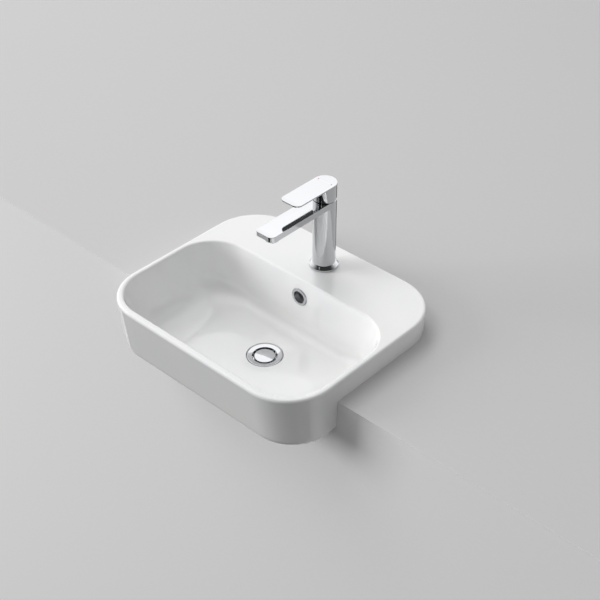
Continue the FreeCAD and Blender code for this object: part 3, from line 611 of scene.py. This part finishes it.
def bench_material(name, colour):
    """Matt painted board that is seen through from behind."""
    fleck_scale = 900.0
    fleck_share = 0.97
    material = bpy.data.materials.new(name)
    material.use_nodes = True
    tree = material.node_tree
    tree.nodes.clear()
    output = tree.nodes.new("ShaderNodeOutputMaterial")
    paint = tree.nodes.new("ShaderNodeBsdfDiffuse")
    clear = tree.nodes.new("ShaderNodeBsdfTransparent")
    switch = tree.nodes.new("ShaderNodeMixShader")
    side = tree.nodes.new("ShaderNodeNewGeometry")
    noise = tree.nodes.new("ShaderNodeTexNoise")
    noise.inputs["Scale"].default_value = fleck_scale
    shade = tree.nodes.new("ShaderNodeMix")
    shade.data_type = "RGBA"
    shade.inputs["A"].default_value = (*colour, 1.0)
    shade.inputs["B"].default_value = (*[channel * fleck_share for channel in colour], 1.0)
    tree.links.new(noise.outputs["Fac"], shade.inputs["Factor"])
    tree.links.new(shade.outputs["Result"], paint.inputs["Color"])
    tree.links.new(side.outputs["Backfacing"], switch.inputs[0])
    tree.links.new(paint.outputs[0], switch.inputs[1])
    tree.links.new(clear.outputs[0], switch.inputs[2])
    tree.links.new(switch.outputs[0], output.inputs["Surface"])
    return material


def sheet_object(name, corners, material):
    """Flat sheet of the stage."""
    data = bpy.data.meshes.new(name)
    data.from_pydata(corners, [], [tuple(range(len(corners)))])
    data.materials.append(material)
    piece = bpy.data.objects.new(name, data)
    bpy.context.scene.collection.objects.link(piece)
    return piece


def bench_top_outline(reach):
    """Bench top with a cut-out, open at the front, that stays hidden under the foot."""
    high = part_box("basin_body")[1]
    corner = 88.0 * MM
    side = high.x - CUT_OUT_INSET
    back = high.y - CUT_OUT_INSET
    steps = 12
    cut = [(side, BENCH_GAP)]
    for step in range(steps + 1):
        angle = math.pi / 2 * step / steps
        cut.append((side - corner + corner * math.cos(angle),
                    back - corner + corner * math.sin(angle)))
    edge = cut + [(-x, y) for x, y in reversed(cut)]
    outline = list(reversed(edge)) + [(reach, BENCH_GAP), (reach, reach), (-reach, reach),
                                      (-reach, BENCH_GAP)]
    return [(x, y, -BENCH_GAP) for x, y in outline]


def bench_front_outline(reach):
    """Front face of the bench, notched where the bowl passes through."""
    bowl_inset = 85.0 * MM
    straight = 50.0 * MM
    depth = 88.0 * MM
    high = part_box("basin_body")[1]
    top_half = high.x - CUT_OUT_INSET
    bowl_half = high.x - bowl_inset
    outline = [(-reach, -reach), (reach, -reach), (reach, -BENCH_GAP), (top_half, -BENCH_GAP),
               (top_half, -straight), (bowl_half, -depth), (-bowl_half, -depth),
               (-top_half, -straight), (-top_half, -BENCH_GAP), (-reach, -BENCH_GAP)]
    return [(x, BENCH_GAP, z) for x, z in outline]


def aim(piece, place, target):
    """Puts a lamp or the camera in place and turns it to its target."""
    piece.location = place
    direction = Vector(target) - Vector(place)
    piece.rotation_euler = direction.to_track_quat("-Z", "Y").to_euler()


def soft_box(name, place, target, size, power):
    """Square soft light that lights the china but isn't mirrored in the chrome."""
    lamp = bpy.data.lights.new(name, "AREA")
    lamp.size = size
    lamp.energy = power
    piece = bpy.data.objects.new(name, lamp)
    piece.visible_glossy = False
    bpy.context.scene.collection.objects.link(piece)
    aim(piece, place, target)


def ramp(tree, low, high, start, end):
    """Smooth step between two brightnesses."""
    node = tree.nodes.new("ShaderNodeMapRange")
    node.interpolation_type = "SMOOTHSTEP"
    node.inputs["From Min"].default_value = start
    node.inputs["From Max"].default_value = end
    node.inputs["To Min"].default_value = low
    node.inputs["To Max"].default_value = high
    return node


def studio_world(stage):
    """Soft room light, with a white screen and an unlit side for the reflections."""
    horizon = (-0.2, 0.2)
    screen_edge = (0.05, 0.65)
    backdrop = 0.95
    world = bpy.data.worlds.new("studio")
    world.use_nodes = True
    tree = world.node_tree
    tree.nodes.clear()
    way = tree.nodes.new("ShaderNodeTexCoord")
    apart = tree.nodes.new("ShaderNodeSeparateXYZ")
    room = ramp(tree, stage.room_below, stage.room, *horizon)
    toward = tree.nodes.new("ShaderNodeVectorMath")
    toward.operation = "DOT_PRODUCT"
    toward.inputs[1].default_value = Vector(stage.bright_way).normalized()
    screen = ramp(tree, stage.mirrored_dark, stage.mirrored_bright, *screen_edge)
    path = tree.nodes.new("ShaderNodeLightPath")
    mirrored = tree.nodes.new("ShaderNodeMix")
    seen = tree.nodes.new("ShaderNodeMix")
    seen.inputs["B"].default_value = backdrop
    glow = tree.nodes.new("ShaderNodeBackground")
    glow.inputs["Color"].default_value = (1.0, 1.0, 1.0, 1.0)
    output = tree.nodes.new("ShaderNodeOutputWorld")
    tree.links.new(way.outputs["Generated"], apart.inputs[0])
    tree.links.new(apart.outputs["Z"], room.inputs["Value"])
    tree.links.new(way.outputs["Generated"], toward.inputs[0])
    tree.links.new(toward.outputs["Value"], screen.inputs["Value"])
    tree.links.new(path.outputs["Is Glossy Ray"], mirrored.inputs["Factor"])
    tree.links.new(room.outputs["Result"], mirrored.inputs["A"])
    tree.links.new(screen.outputs["Result"], mirrored.inputs["B"])
    tree.links.new(path.outputs["Is Camera Ray"], seen.inputs["Factor"])
    tree.links.new(mirrored.outputs["Result"], seen.inputs["A"])
    tree.links.new(seen.outputs["Result"], glow.inputs["Strength"])
    tree.links.new(glow.outputs[0], output.inputs["Surface"])
    return world


def dark_card(back):
    """Black card behind the basin, just over the bench, that only shiny faces mirror."""
    reach = 0.6
    level = 1.0 * MM
    near = back + 5.0 * MM
    far = back + reach
    material = bpy.data.materials.new("black_card")
    material.use_nodes = True
    paint = material.node_tree.nodes["Principled BSDF"]
    paint.inputs["Base Color"].default_value = (0.01, 0.01, 0.01, 1.0)
    corners = [(-reach, near, level), (0.0, near, level), (0.0, far, level),
               (-reach, far, level)]
    card = sheet_object("black_card", corners, material)
    card.visible_camera = False
    card.visible_diffuse = False
    card.visible_shadow = False
    card.visible_transmission = False


class BASIN_OT_build_stage(bpy.types.Operator):
    """Set up the bench, the soft light and the camera"""

    bl_idname = "basin.build_stage"
    bl_label = "Build Stage"

    def execute(self, context):
        scene = context.scene
        stage = scene.basin_stage
        key_size, side_size, back_size, top_size = 5.0, 4.0, 4.0, 1.2
        sensor_width, sight = 36.0, 50.0
        # The front board's whiter colour is painted light that makes up for the weaker light on
        # its upright face.
        sheet_object("bench_top", bench_top_outline(stage.bench_reach),
                     bench_material("bench_top_paint", stage.bench_top))
        sheet_object("bench_front", bench_front_outline(stage.bench_reach),
                     bench_material("bench_front_paint", stage.bench_front))
        dark_card(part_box("basin_body")[1].y)
        target = Vector(stage.camera_aim)
        lamps = (("key_light", stage.key_way, key_size, stage.key_power),
                 ("side_light", stage.side_way, side_size, stage.side_power),
                 ("back_light", stage.back_way, back_size, stage.back_power))
        for name, way, size, power in lamps:
            place = target + Vector(way).normalized() * stage.lamp_distance
            soft_box(name, place, target, size, power)
        top_place = Vector(stage.top_place)
        below_top = Vector((top_place.x, top_place.y, 0.0))
        soft_box("top_light", top_place, below_top, top_size, stage.top_power)
        scene.world = studio_world(stage)
        camera = bpy.data.objects.new("camera", bpy.data.cameras.new("camera"))
        camera.data.lens = stage.lens
        camera.data.sensor_width = sensor_width
        camera.data.clip_end = sight
        scene.collection.objects.link(camera)
        aim(camera, stage.camera_place, stage.camera_aim)
        scene.camera = camera
        scene.view_settings.view_transform = "Standard"
        return {"FINISHED"}


OPERATORS = (BASIN_OT_dress_casting, BASIN_OT_dress_chrome, BASIN_OT_dress_metal,
             BASIN_OT_dress_moulded, BASIN_OT_dress_marks, BASIN_OT_cut_threads,
             BASIN_OT_build_stage)


class BASIN_PT_sidebar(bpy.types.Panel):
    """Lists the basin's steps, colours and sizes"""

    bl_idname = "BASIN_PT_sidebar"
    bl_label = "Basin"
    bl_space_type = "VIEW_3D"
    bl_region_type = "UI"
    bl_category = "Basin"

    def draw(self, context):
        for operator in OPERATORS:
            self.layout.operator(operator.bl_idname)
        for settings in (context.scene.basin_finish, context.scene.basin_threads,
                         context.scene.basin_stage):
            box = self.layout.box()
            for name in settings.bl_rna.properties.keys():
                if name not in ("rna_type", "name"):
                    box.prop(settings, name)


CLASSES = (BasinFinish, BasinThreads, BasinStage, *OPERATORS, BASIN_PT_sidebar)


def register():
    for item in CLASSES:
        bpy.utils.register_class(item)
    bpy.types.Scene.basin_finish = bpy.props.PointerProperty(type=BasinFinish)
    bpy.types.Scene.basin_threads = bpy.props.PointerProperty(type=BasinThreads)
    bpy.types.Scene.basin_stage = bpy.props.PointerProperty(type=BasinStage)


def unregister():
    del bpy.types.Scene.basin_stage
    del bpy.types.Scene.basin_threads
    del bpy.types.Scene.basin_finish
    for item in reversed(CLASSES):
        bpy.utils.unregister_class(item)


def main():
    register()
    bpy.ops.basin.dress_casting()
    bpy.ops.basin.dress_chrome()
    bpy.ops.basin.dress_metal()
    bpy.ops.basin.dress_moulded()
    bpy.ops.basin.dress_marks()
    bpy.ops.basin.cut_threads()
    bpy.ops.basin.build_stage()


if __name__ == "__main__":
    main()
